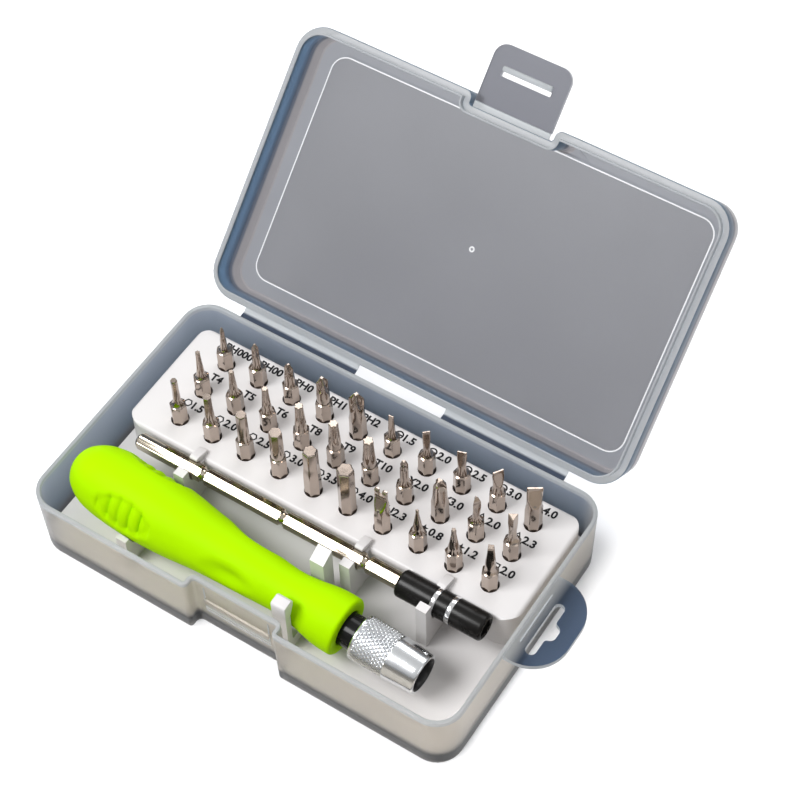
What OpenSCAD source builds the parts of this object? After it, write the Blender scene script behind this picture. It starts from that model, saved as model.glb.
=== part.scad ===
// Precision screwdriver set: a hinged plastic case with a latch, and in it a moulded tray that
// holds thirty hex bits, a handle and an extension rod.
// Millimetres. The origin is the centre of the case's underside, X runs along the case, Y towards
// the lid's hinge and Z up. The lid is drawn open, as it stands in use.

/* [Case] */
// Length of the case along X
case_w = 124.4; // [123.4:0.2:130]
// Depth of the case from its front to its back
case_d = 75.2; // [74.8:0.2:78]
// Height of the base, from its underside to its rim
base_h = 21.2; // [21:0.2:24]
// Height of the lid above the base rim when it is closed
lid_h = 12.7; // [12.6:0.1:15]
// Radius of the upright corners
corner_r = 7.5; // [6:0.5:8]
// Radius of the rounded edges of the base's underside and of the lid's top
edge_r = 1.2; // [0.8:0.1:1.3]
// Thickness of the case walls
wall = 1.4; // [1.4:0.1:1.6]
// Angle from closed at which the lid stands open
lid_open = 135; // [100:1:180]

/* [Latch] */
// Width of the latch recess in the front of the base and the lid
recess_w = 25; // [24:0.5:27]
// Depth of the latch recess
recess_d = 3.3; // [3.2:0.1:3.5]
// Width of the latch flap
latch_w = 22; // [18:0.5:22]
// Length of the latch flap from its hinge line
latch_l = 16.8; // [15:0.2:17]
// Thickness of the latch flap
latch_t = 1.1; // [0.9:0.1:1.1]

/* [Hang tab] */
// How far the hang tab stands out of the case's right side
hang_out = 12.2; // [11:0.2:14]
// Width of the hang tab
hang_w = 26; // [24:0.5:30]

/* [Tray] */
// Height of the tray's floor above the case's underside
tray_z = 3.5; // [3:0.1:3.6]
// Height of the bit block's top above the case's underside
block_z = 15.6; // [15.2:0.1:15.8]
// Spacing of the bit holes along a row
hole_pitch = 10.4; // [10.2:0.05:10.5]
// Spacing of the rows of bit holes
row_pitch = 10.25; // [10:0.05:10.4]
// Diameter of a bit hole
hole_d = 4.8; // [4.75:0.05:5]
// Depth of a bit hole
hole_depth = 12; // [10:0.5:12]

/* [Bits and extension rod] */
// Width across the flats of the hex drive of the bits and the rod
drive_flats = 4; // [3.9:0.05:4]
// Length of the rod's visible hex bar
rod_bar_l = 79.9; // [70:0.1:82]
// Length of the rod's socket
rod_socket_l = 24.6; // [20:0.1:25]
// Diameter of the rod's socket
rod_socket_d = 7.3; // [7:0.1:7.4]

/* [Handle] */
// Length of the soft grip
grip_l = 83.8; // [82:0.1:84]
// Largest radius of the grip, at its bulb
bulb_r = 9.5; // [9:0.1:9.6]
// Length of the black neck between the grip and the sleeve
neck_gap = 3.8; // [3:0.1:5]
// Length of the aluminium sleeve
sleeve_l = 18.5; // [17:0.1:19]

/* [Hidden] */
$fn = 48;
eps = 0.01;

// Lid, hinge and latch
ceiling_t = 1.2;
panel_w = 113;
panel_d = 64;
panel_r = 6;
panel_up = 0.6;
lid_over = 0.4;
lip_h = 1.8;
lip_gap = 0.35;
lip_t = 1.2;
rim_band_h = 2.4;
hinge_gap = 1.6;
hinge_t = 0.5;
hinge_in = 13.2;
hinge_out = 49.2;
hinge_y = case_d / 2 + hinge_gap;
catch_out = 0.7;
catch_w = 19.4;
catch_z = 12.05;
catch_h = 1.9;
latch_gap = 0.4;
latch_film_t = 0.35;
latch_y = -case_d / 2 + recess_d - catch_out - latch_gap - latch_film_t / 2;
latch_hook_w = 14.2;
latch_hook_at = 10.1;
latch_hook_l = 1.4;
latch_slot_l = 1.3;
latch_corner_r = 3.5;
latch_film_l = 0.7;
film_gap = 0.2;

// Tray: the bit block and the posts that hold the handle and the rod
tray_gap = 0.4;
block_w = 117;
block_front = -2.1;
block_back = 33.4;
block_r = 5;
block_edge_r = 1.2;
first_x = -45.8;
last_row_y = 25.6;
columns = 10;
rows = 3;
core_w = 2.2;
core_len = 110;
core_roof = 1.6;
rod_clips_x = [-34.6, 15.7];
socket_clip_x = 38.7;
clip_t = 3;
clip_d = 2.4;
nib_w = 2.2;
nib_top = 1;
nib_foot = 2.4;
waist_clip_x = 10.6;
bulb_clip_x = -37;

// Extension rod
rod_x = -51.1;
rod_y = -5.7;
rod_z = 15.2;
drive_r = drive_flats / 2 / cos(30);
groove_first = 21;
groove_pitch = 24.45;
groove_r = 1.65;
groove_w = 1.3;
ring_w = 1.3;
ring_t = 0.45;
ring_first = 10.6;
ring_pitch = 4.6;
socket_depth = 10;
socket_flats = drive_flats + 0.15;

// Handle
grip_tip = [-59.2, -20.6, 17.3];
handle_tilt = 2.4;
handle_yaw = -1.5;
dome_l = 15;
// Distance from the tip and radius at each station along the grip
grip_stations = [
    [dome_l, bulb_r], [24, bulb_r], [34, 8.8], [47, 7.3], [66, 6.05], [72, 6.6], [77.5, 7.6],
    [grip_l - 1, 7.8], [grip_l, 6.9]
];
dimple_at = 11;
dimple_count = 5;
dimple_pitch = 3;
dimple_angles = [65, -55, 185];
neck_r = 4.5;
sleeve_r = 5.95;
mouth_r = 5.27;
knurl_l = 10.6;
knurl_cuts = 24;

// ---------------------------------------------------------------- shared shapes

module rounded_rect(w, d, r) {
    square([w - 2 * r, d], center = true);
    square([w, d - 2 * r], center = true);
    for (x = [-1, 1], y = [-1, 1])
        translate([x * (w / 2 - r), y * (d / 2 - r)])
            circle(r);
}

// The case's plan, drawn in by an inset, with the latch recess in its front edge
module outline(inset) {
    difference() {
        rounded_rect(case_w - 2 * inset, case_d - 2 * inset, corner_r - inset);
        translate([0, -case_d / 2])
            square([recess_w + 2 * inset, 2 * (recess_d + inset)], center = true);
    }
}

module outline_ring(outer, inner, h) {
    linear_extrude(h)
        difference() {
            outline(outer);
            outline(inner);
        }
}

// A side view with its two lower corners rounded
module rounded_foot(w, h, r) {
    translate([-w / 2, r])
        square([w, h - r]);
    translate([-w / 2 + r, 0])
        square([w - 2 * r, h]);
    for (x = [-1, 1])
        translate([x * (w / 2 - r), r])
            circle(r);
}

// Rounds the lower edges of the children, which stand on the XY plane
module round_underside(w, d, h, r) {
    intersection() {
        children();
        rotate([90, 0, 0])
            linear_extrude(d + 2, center = true)
                rounded_foot(w, h + 1, r);
        rotate([90, 0, 90])
            linear_extrude(w + 2, center = true)
                rounded_foot(d, h + 1, r);
    }
}

// An open box with the case's plan, drawn out by a margin all round
module open_shell(h, floor_t, margin) {
    difference() {
        round_underside(case_w + 2 * margin, case_d + 2 * margin, h, edge_r)
            linear_extrude(h)
                outline(-margin);
        translate([0, 0, floor_t])
            linear_extrude(h)
                outline(wall - margin);
    }
}

// Hinge strips: two thin films along the back edge, each reaching half the hinge gap
module hinge_films(z) {
    for (side = [-1, 1])
        translate([side * (hinge_in + hinge_out) / 2, case_d / 2 - eps, z])
            translate([-(hinge_out - hinge_in) / 2, 0, 0])
                cube([hinge_out - hinge_in, hinge_gap - 0.1, hinge_t]);
}

// Takes the closed lid to where it stands open
module opened() {
    translate([0, hinge_y, base_h])
        rotate([-lid_open, 0, 0])
            translate([0, -hinge_y, -base_h])
                children();
}

// ---------------------------------------------------------------- case

// A straight slot with round ends and a round bay in the middle of its outer side
module hang_slot() {
    slot_in = 3.4;
    slot_t = 2.8;
    half_l = 6.9;
    bay_r = 2.3;
    for (y = [-half_l, half_l])
        translate([slot_in + slot_t / 2, y])
            circle(slot_t / 2);
    translate([slot_in, -half_l])
        square([slot_t, 2 * half_l]);
    translate([slot_in + slot_t - 0.4, 0])
        circle(bay_r);
}

// The outer half of a rounded rectangle, with its root in the case's wall
module hang_outline() {
    corner = 9;
    intersection() {
        rounded_rect(2 * hang_out, hang_w, corner);
        translate([-wall / 2, -hang_w / 2])
            square([hang_out + wall, hang_w]);
    }
}

module hang_tab() {
    thickness = 1.5;
    rib_at = 1.3;
    rib_l = 13;
    translate([case_w / 2, 0, base_h - thickness])
        linear_extrude(thickness)
            difference() {
                hang_outline();
                hang_slot();
            }
    translate([case_w / 2 + rib_at, -rib_l / 2, base_h - eps])
        cube([0.9, rib_l, 0.6]);
}

module case_base() {
    color("#9fb0bf")
    {
        open_shell(base_h, wall, 0);
        hang_tab();
        hinge_films(base_h - hinge_t);
        translate([-catch_w / 2, -case_d / 2 + recess_d - catch_out, catch_z])
            cube([catch_w, catch_out + eps, catch_h]);
    }
}

// The lid as it lies when closed, on the base's rim
module closed_lid() {
    translate([0, 0, base_h]) {
        difference() {
            union() {
                translate([0, 0, lid_h])
                    mirror([0, 0, 1])
                        open_shell(lid_h, ceiling_t, lid_over);
                translate([0, 0, lid_h - eps])
                    linear_extrude(panel_up)
                        rounded_rect(panel_w, panel_d, panel_r);
            }
            translate([0, 0, lid_h - ceiling_t - eps])
                linear_extrude(panel_up)
                    rounded_rect(panel_w - 2, panel_d - 2, panel_r - 1);
        }
        outline_ring(-lid_over, wall + lip_gap + lip_t, rim_band_h);
        translate([0, 0, -lip_h])
            outline_ring(wall + lip_gap, wall + lip_gap + lip_t, lip_h + eps);
        hinge_films(0);
    }
    latch_ledge();
}

// The ledge in the lid's recess that carries the latch, and its half of the thin hinge film
module latch_ledge() {
    wall_y = -case_d / 2 + recess_d - lid_over;
    ledge_y = latch_y + latch_film_l;
    translate([-latch_w / 2, min(ledge_y, wall_y), base_h])
        cube([latch_w, max(wall_y - ledge_y, 0) + eps, latch_t]);
    translate([-latch_w / 2, latch_y + film_gap, base_h])
        cube([latch_w, wall_y - latch_y, latch_film_t]);
}

module lid() {
    color("#a9b7c4")
        opened()
            closed_lid();
}

module latch_outline() {
    r = latch_corner_r;
    translate([-latch_w / 2, -latch_l + r])
        square([latch_w, latch_l - r - latch_film_l]);
    translate([-latch_w / 2 + r, -latch_l])
        square([latch_w - 2 * r, r + 1]);
    for (x = [-1, 1])
        translate([x * (latch_w / 2 - r), -latch_l + r])
            circle(r);
}

// The flap as it stands straight out of the closed lid
module latch_flap() {
    color("#a9b7c4")
        opened()
            translate([0, latch_y, base_h]) {
                linear_extrude(latch_t)
                    difference() {
                        latch_outline();
                        translate([-latch_hook_w / 2, -latch_hook_at])
                            square([latch_hook_w, latch_slot_l]);
                    }
                translate([-latch_hook_w / 2, -latch_hook_at - latch_hook_l, -catch_out])
                    cube([latch_hook_w, latch_hook_l, catch_out + eps]);
                translate([-latch_w / 2, -latch_film_l - eps, 0])
                    cube([latch_w, latch_film_l - film_gap, latch_film_t]);
            }
}

// ---------------------------------------------------------------- tray

function hole_x(column) = first_x + column * hole_pitch;
function hole_y(row) = last_row_y - row * row_pitch;

module bit_block() {
    depth = block_back - block_front;
    height = block_z - tray_z;
    difference() {
        translate([0, (block_back + block_front) / 2, block_z])
            mirror([0, 0, 1])
                round_underside(block_w, depth, height, block_edge_r)
                    linear_extrude(height + 0.5)
                        rounded_rect(block_w, depth, block_r);
        for (column = [0:columns - 1], row = [0:rows - 1])
            translate([hole_x(column), hole_y(row), block_z - hole_depth])
                cylinder(h = hole_depth + 1, d = hole_d);
        for (gap = [-1:rows - 1])
            translate([-core_len / 2, hole_y(gap) - (row_pitch + core_w) / 2, 0])
                cube([core_len, core_w, block_z - core_roof]);
    }
}

// A rib across the tray that carries a round bar, with a post in front of it
module rod_cradle(x, bar_r, post_z) {
    front = rod_y - bar_r - 0.35 - clip_d;
    translate([x - clip_t / 2, 0, tray_z - eps])
        difference() {
            union() {
                translate([0, front, 0])
                    cube([clip_t, block_front - front + 0.5, rod_z - tray_z]);
                translate([0, front, 0])
                    cube([clip_t, clip_d, post_z - tray_z]);
            }
            translate([-1, rod_y, rod_z - tray_z])
                rotate([0, 90, 0])
                    cylinder(h = clip_t + 2, r = bar_r + 0.3);
            translate([-1, rod_y - bar_r - 0.3, rod_z - tray_z])
                cube([clip_t + 2, block_front - rod_y + bar_r + 1, 9]);
        }
}

// The nib on the block's front edge that faces a rod post
module rod_nib(x, bar_r) {
    front = rod_y + bar_r + 0.3;
    translate([x - nib_w / 2, front, block_z - nib_foot])
        cube([nib_w, block_front - front + 2.2, nib_foot + nib_top]);
}

// A pair of posts with sloping tops, joined by a rib under the handle's waist
module waist_cradle() {
    width = 4;
    front_in = -29.3;
    front_out = -31.2;
    front_top = 23.4;
    back_in = -15;
    back_out = -11;
    back_top = 22.8;
    rib_top = 7.4;
    slope = 2;
    translate([waist_clip_x + width / 2, 0, 0])
        rotate([90, 0, -90])
            linear_extrude(width)
                polygon([
                    [-front_out, tray_z - eps], [-front_out, front_top], [-front_in, front_top - slope / 2],
                    [-front_in, rib_top], [-back_in, rib_top], [-back_in, back_top - slope],
                    [-back_out, back_top], [-back_out, tray_z - eps]
                ]);
}

// A rib hollowed to the bulb of the handle, ending in a post in front
module bulb_cradle() {
    front = -32.2;
    back = -15;
    top = 14.2;
    rib_top = 8.4;
    axis_y = -21.2;
    axis_z = 16.35;
    translate([bulb_clip_x - clip_t / 2, 0, 0])
        difference() {
            union() {
                translate([0, front, tray_z - eps])
                    cube([clip_t, back - front, rib_top - tray_z]);
                translate([0, front, tray_z - eps])
                    cube([clip_t, 4, top - tray_z]);
            }
            translate([-1, axis_y, axis_z])
                rotate([0, 90, 0])
                    cylinder(h = clip_t + 2, r = bulb_r + 0.35);
        }
}

module tray() {
    color("#dcdde0") {
        difference() {
            union() {
                translate([0, 0, wall])
                    linear_extrude(tray_z - wall)
                        outline(wall + tray_gap);
                bit_block();
            }
            for (gap = [-1:rows - 1])
                translate([-core_len / 2, hole_y(gap) - (row_pitch + core_w) / 2, 0])
                    cube([core_len, core_w, tray_z + 1]);
        }
        for (x = rod_clips_x) {
            rod_cradle(x, drive_r, 18);
            rod_nib(x, drive_r);
        }
        rod_cradle(socket_clip_x, rod_socket_d / 2, 19.4);
        rod_nib(socket_clip_x, rod_socket_d / 2);
        waist_cradle();
        bulb_cradle();
    }
}

// ---------------------------------------------------------------- bits

shank_up = 6.6;

// Stands a bit in its hole; its children are drawn on top of the shank's cone
module bit(row, column, top_r, cone_l) {
    color("#a8998c")
        translate([hole_x(column), hole_y(row), block_z - hole_depth]) {
            cylinder(h = hole_depth + shank_up, r = drive_r, $fn = 6);
            translate([0, 0, hole_depth + shank_up - eps])
                cylinder(h = cone_l, r1 = drive_flats / 2, r2 = top_r);
            translate([0, 0, hole_depth + shank_up + cone_l - 2 * eps])
                children();
        }
}

function blade_l(rise, cone_l) = rise - shank_up - cone_l;

// Round blade with a pointed end and four flutes
module cross_bit(column, d, rise) {
    cone_l = 1.8;
    length = blade_l(rise, cone_l);
    point_l = d * 0.45;
    flute_l = min(length, 4.2);
    bit(0, column, min(d / 2, drive_flats / 2), cone_l)
        difference() {
            union() {
                cylinder(h = length - point_l, r = d / 2);
                translate([0, 0, length - point_l - eps])
                    cylinder(h = point_l, r1 = d / 2, r2 = d * 0.12);
            }
            for (turn = [45:90:315])
                rotate(turn)
                    translate([d * 0.42, 0, length - flute_l])
                        rotate([0, 0, 45])
                            translate([-d * 0.2, -d * 0.2, 0])
                                cube([d * 0.6, d * 0.6, flute_l + 1]);
        }
}

// Round bar ground down to a thin flat edge
module slot_bit(column, w, rise) {
    cone_l = 1.8;
    length = blade_l(rise, cone_l);
    edge_t = 0.12 + w * 0.09;
    root_t = w * 0.95;
    grind_l = length * 0.62;
    bit(0, column, w / 2, cone_l)
        intersection() {
            cylinder(h = length, r = w / 2);
            rotate([90, 0, 90])
                translate([0, 0, -w])
                    linear_extrude(2 * w)
                        polygon([
                            [-root_t / 2 - 1, 0], [-root_t / 2 - 1, length - grind_l],
                            [-root_t / 2, length - grind_l], [-edge_t / 2, length],
                            [edge_t / 2, length], [root_t / 2, length - grind_l],
                            [root_t / 2 + 1, length - grind_l], [root_t / 2 + 1, 0]
                        ]);
        }
}

// Star of round lobes on a round core
module lobed_bit(row, column, lobes, d, rise) {
    cone_l = 3;
    length = blade_l(rise, cone_l);
    lobe_r = d * (lobes > 5 ? 0.13 : 0.16);
    bit(row, column, d / 2 + 0.25, cone_l)
        linear_extrude(length)
            union() {
                circle(d * 0.38);
                for (lobe = [0:lobes - 1])
                    rotate(lobe * 360 / lobes)
                        translate([d / 2 - lobe_r, 0])
                            circle(lobe_r);
            }
}

// Straight blade with a polygon section
module prism_bit(row, column, sides, r, rise, cone_l) {
    bit(row, column, r, cone_l)
        cylinder(h = blade_l(rise, cone_l), r = r, $fn = sides);
}

// Three thin wings on a round blade
module tri_wing_bit(column, d, rise) {
    cone_l = 2.4;
    length = blade_l(rise, cone_l);
    wing_l = 2.6;
    wing_t = d * 0.22;
    bit(1, column, d / 2, cone_l) {
        cylinder(h = length - wing_l, r = d / 2);
        translate([0, 0, length - wing_l - eps])
            for (wing = [0:2])
                rotate(wing * 120)
                    translate([0, -wing_t / 2, 0])
                        cube([d / 2, wing_t, wing_l]);
    }
}

// Flat blade with a notch between its two prongs
module fork_bit(column, w, rise) {
    cone_l = 1;
    length = blade_l(rise, cone_l);
    blade_t = 1;
    notch_w = w * 0.4;
    notch_l = 1.6;
    bit(2, column, drive_flats / 2, cone_l)
        difference() {
            cylinder(h = length, r = drive_flats / 2);
            for (side = [-1, 1])
                translate([-drive_flats, side * (blade_t / 2 + 2) - 2, length - 3])
                    cube([2 * drive_flats, 4, 4]);
            translate([-notch_w / 2, -drive_flats, length - notch_l])
                cube([notch_w, 2 * drive_flats, notch_l + 1]);
        }
}

function hex_r(flats) = flats / 2 / cos(30);

module bit_cross_000() cross_bit(0, 1.5, 15.7);
module bit_cross_00() cross_bit(1, 1.9, 16.0);
module bit_cross_0() cross_bit(2, 2.4, 14.8);
module bit_cross_1() cross_bit(3, 3.2, 16.5);
module bit_cross_2() cross_bit(4, 4.0, 17.1);
module bit_slot_1_5() slot_bit(5, 1.5, 15.3);
module bit_slot_2_0() slot_bit(6, 2.0, 16.3);
module bit_slot_2_5() slot_bit(7, 2.5, 15.5);
module bit_slot_3_0() slot_bit(8, 3.0, 15.3);
module bit_slot_4_0() slot_bit(9, 4.0, 16.2);
module bit_star_4() lobed_bit(1, 0, 6, 1.35, 16.8);
module bit_star_5() lobed_bit(1, 1, 6, 1.45, 16.0);
module bit_star_6() lobed_bit(1, 2, 6, 1.75, 16.2);
module bit_star_8() lobed_bit(1, 3, 6, 2.3, 16.5);
module bit_star_9() lobed_bit(1, 4, 6, 2.5, 16.6);
module bit_star_10() lobed_bit(1, 5, 6, 2.75, 17.1);
module bit_tri_wing_2_0() tri_wing_bit(6, 2.0, 16.2);
module bit_tri_wing_3_0() tri_wing_bit(7, 3.0, 16.1);
module bit_triangle_2_0() prism_bit(1, 8, 3, 1.3, 17.2, 3);
module bit_triangle_2_3() prism_bit(1, 9, 3, 1.5, 17.2, 3);
module bit_hex_1_5() prism_bit(2, 0, 6, hex_r(1.5), 16.6, 3);
module bit_hex_2_0() prism_bit(2, 1, 6, hex_r(2.0), 17.1, 2.6);
module bit_hex_2_5() prism_bit(2, 2, 6, hex_r(2.5), 17.2, 2.2);
module bit_hex_3_0() prism_bit(2, 3, 6, hex_r(3.0), 17.2, 1.4);
module bit_hex_3_5() prism_bit(2, 4, 6, hex_r(3.5), 17.2, 0.5);
module bit_hex_4_0() prism_bit(2, 5, 6, drive_r, 17.2, 0.2);
module bit_fork_2_3() fork_bit(6, 2.3, 16.5);
module bit_penta_0_8() lobed_bit(2, 7, 5, 0.9, 16.1);
module bit_penta_1_2() lobed_bit(2, 8, 5, 1.3, 16.1);
module bit_square_2_0() prism_bit(2, 9, 4, 1.25, 17.1, 3);

// ---------------------------------------------------------------- handle

// Points of a smooth curve from station i to station i + 1
function smooth(a, b, steps) = [
    for (k = [1:steps])
        let (t = k / steps, ease = (1 - cos(180 * t)) / 2)
            [a[1] + (b[1] - a[1]) * ease, a[0] + (b[0] - a[0]) * t]
];

dome = [
    for (a = [90:-7.5:0])
        [bulb_r * cos(a), dome_l * (1 - sin(a))]
];

module on_handle() {
    translate(grip_tip)
        rotate([0, 90 + handle_tilt, handle_yaw])
            children();
}

// Grooves across each finger dimple: straight cuts that the round grip turns into ovals
module dimple_cuts() {
    cut_r = 1.7;
    for (angle = dimple_angles, groove = [0:dimple_count - 1])
        rotate(180 - angle)
            translate([bulb_r + cut_r - 0.8, 0, dimple_at + groove * dimple_pitch])
                rotate([90, 0, 0])
                    cylinder(h = 12, r = cut_r, center = true, $fn = 24);
}

module handle_grip() {
    last = len(grip_stations) - 1;
    body = [
        for (i = [0:last - 1])
            each smooth(grip_stations[i], grip_stations[i + 1], i < 4 ? 5 : 3)
    ];
    color("#b9f400")
        on_handle()
            difference() {
                rotate_extrude()
                    polygon(concat(dome, body, [[0, grip_l]]));
                dimple_cuts();
                translate([0, 0, grip_l - 8])
                    cylinder(h = 10, r = neck_r + 0.02);
            }
}

// Black core: it starts in the grip, shows as a neck and carries the hex socket in the sleeve
module handle_neck() {
    core_l = 8 + neck_gap + sleeve_l - 6;
    color("#1a1a1c")
        on_handle()
            translate([0, 0, grip_l - 8 + 0.02])
                difference() {
                    cylinder(h = core_l, r = neck_r);
                    translate([0, 0, core_l - 11])
                        cylinder(h = 12, r = hex_r(socket_flats), $fn = 6);
                    translate([0, 0, core_l - 3])
                        cylinder(h = 4, r = 3.2);
                }
}

module knurl() {
    for (turn = [0:knurl_cuts - 1])
        rotate(turn * 360 / knurl_cuts)
            translate([sleeve_r + 0.12, 0, 0.6])
                rotate(45)
                    translate([-0.25, -0.25, 0])
                        cube([0.5, 0.5, knurl_l - 0.8]);
}

module handle_sleeve() {
    bevel = 0.35;
    knurl_end_r = 5.85;
    color("#d5d8db")
        on_handle()
            translate([0, 0, grip_l + neck_gap])
                difference() {
                    rotate_extrude()
                        polygon([
                            [neck_r + 0.03, 0], [sleeve_r - bevel, 0], [sleeve_r, bevel],
                            [knurl_end_r, knurl_l], [mouth_r, sleeve_l - bevel],
                            [mouth_r - bevel, sleeve_l], [neck_r + 0.03, sleeve_l]
                        ]);
                    knurl();
                }
}

// ---------------------------------------------------------------- extension rod

module on_rod() {
    translate([rod_x, rod_y, rod_z])
        rotate([0, 90, 0])
            children();
}

module rod_bar() {
    bevel = 0.5;
    total = rod_bar_l + rod_socket_l - socket_depth - 2;
    color("#c9c4b4")
        on_rod()
            difference() {
                intersection() {
                    cylinder(h = total, r = drive_r, $fn = 6);
                    rotate_extrude()
                        polygon([
                            [0, 0], [drive_r - bevel, 0], [drive_r + 0.1, bevel + 0.1],
                            [drive_r + 0.1, total], [0, total]
                        ]);
                }
                for (groove = [0:2])
                    translate([0, 0, groove_first + groove * groove_pitch])
                        rotate_extrude()
                            translate([groove_r, -groove_w / 2])
                                square([2, groove_w]);
            }
}

module rod_socket() {
    bevel = 0.5;
    r = rod_socket_d / 2;
    color("#141416")
        on_rod()
            translate([0, 0, rod_bar_l])
                difference() {
                    rotate_extrude()
                        polygon([
                            [0, 0], [r - bevel, 0], [r, bevel],
                            [r, rod_socket_l - bevel], [r - bevel, rod_socket_l], [0, rod_socket_l]
                        ]);
                    translate([0, 0, -eps])
                        cylinder(h = rod_socket_l + 1, r = hex_r(socket_flats), $fn = 6);
                    for (ring = [0, 1])
                        translate([0, 0, ring_first + ring * ring_pitch])
                            ring_shape(ring_w + 0.04, ring_t + 0.02, 1);
                }
}

module ring_shape(width, thickness, extra) {
    r = rod_socket_d / 2;
    rotate_extrude()
        translate([r - thickness, -width / 2])
            square([thickness + extra, width]);
}

module rod_rings() {
    color("#dfe1e4")
        on_rod()
            translate([0, 0, rod_bar_l])
                for (ring = [0, 1])
                    translate([0, 0, ring_first + ring * ring_pitch])
                        ring_shape(ring_w, ring_t, 0);
}

case_base();
lid();
latch_flap();
tray();
bit_cross_000();
bit_cross_00();
bit_cross_0();
bit_cross_1();
bit_cross_2();
bit_slot_1_5();
bit_slot_2_0();
bit_slot_2_5();
bit_slot_3_0();
bit_slot_4_0();
bit_star_4();
bit_star_5();
bit_star_6();
bit_star_8();
bit_star_9();
bit_star_10();
bit_tri_wing_2_0();
bit_tri_wing_3_0();
bit_triangle_2_0();
bit_triangle_2_3();
bit_hex_1_5();
bit_hex_2_0();
bit_hex_2_5();
bit_hex_3_0();
bit_hex_3_5();
bit_hex_4_0();
bit_fork_2_3();
bit_penta_0_8();
bit_penta_1_2();
bit_square_2_0();
handle_grip();
handle_neck();
handle_sleeve();
rod_bar();
rod_socket();
rod_rings();
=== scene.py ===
"""Looks of the precision screwdriver set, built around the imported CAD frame."""

import math

import bmesh
import bpy
from mathutils import Matrix, Vector


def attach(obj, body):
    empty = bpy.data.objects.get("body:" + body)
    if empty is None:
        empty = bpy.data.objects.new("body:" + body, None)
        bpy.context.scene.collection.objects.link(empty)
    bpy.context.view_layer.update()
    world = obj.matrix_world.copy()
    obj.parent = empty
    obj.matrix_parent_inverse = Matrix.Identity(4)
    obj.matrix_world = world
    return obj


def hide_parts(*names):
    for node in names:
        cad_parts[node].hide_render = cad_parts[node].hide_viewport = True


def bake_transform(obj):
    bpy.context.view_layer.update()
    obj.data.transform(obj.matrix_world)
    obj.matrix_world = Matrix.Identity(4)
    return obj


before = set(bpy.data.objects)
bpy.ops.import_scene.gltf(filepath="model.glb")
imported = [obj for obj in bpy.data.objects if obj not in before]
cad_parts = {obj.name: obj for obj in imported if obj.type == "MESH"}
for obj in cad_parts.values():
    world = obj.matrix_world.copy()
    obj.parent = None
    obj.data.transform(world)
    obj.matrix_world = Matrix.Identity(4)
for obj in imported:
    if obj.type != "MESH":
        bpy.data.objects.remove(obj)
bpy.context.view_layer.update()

MM = 0.001

# The driving dimensions of the case, in millimetres, as in the CAD
CASE_W = 124.4
CASE_D = 75.2
BASE_H = 21.2
LID_H = 12.7
CORNER_R = 7.5
WALL = 1.15
RIM_GAP = 0.06
RIM_BAND = 1.3
CEILING_T = 1.2
RECESS_W = 25.0
RECESS_D = 3.3
LID_OVER = 0.4
PANEL_CORNER_R = 4.5
PANEL_MARGIN = 5.6
GATE_X = -0.9
LID_OPEN = 135.0
HINGE_GAP = 1.6
HINGE_Y = CASE_D / 2 + HINGE_GAP
HINGE_REACH = 1.7
HINGE_IN = 13.2
HINGE_OUT = 49.2
LATCH_W = 22.0
LATCH_L = 16.8
LATCH_T = 1.1
LATCH_FILM_T = 0.35
LATCH_ROOT = 0.7
CATCH_OUT = 0.7
CATCH_W = 19.4
LATCH_Y = -CASE_D / 2 + RECESS_D - CATCH_OUT - 0.4 - LATCH_FILM_T / 2
BLOCK_Z = 15.6
HOLE_DEPTH = 12.0
FIRST_X = -45.8
LAST_ROW_Y = 25.6
HOLE_PITCH = 10.4
ROW_PITCH = 10.25
DRIVE_FLATS = 4.0


# ---------------------------------------------------------------- mesh helpers

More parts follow.
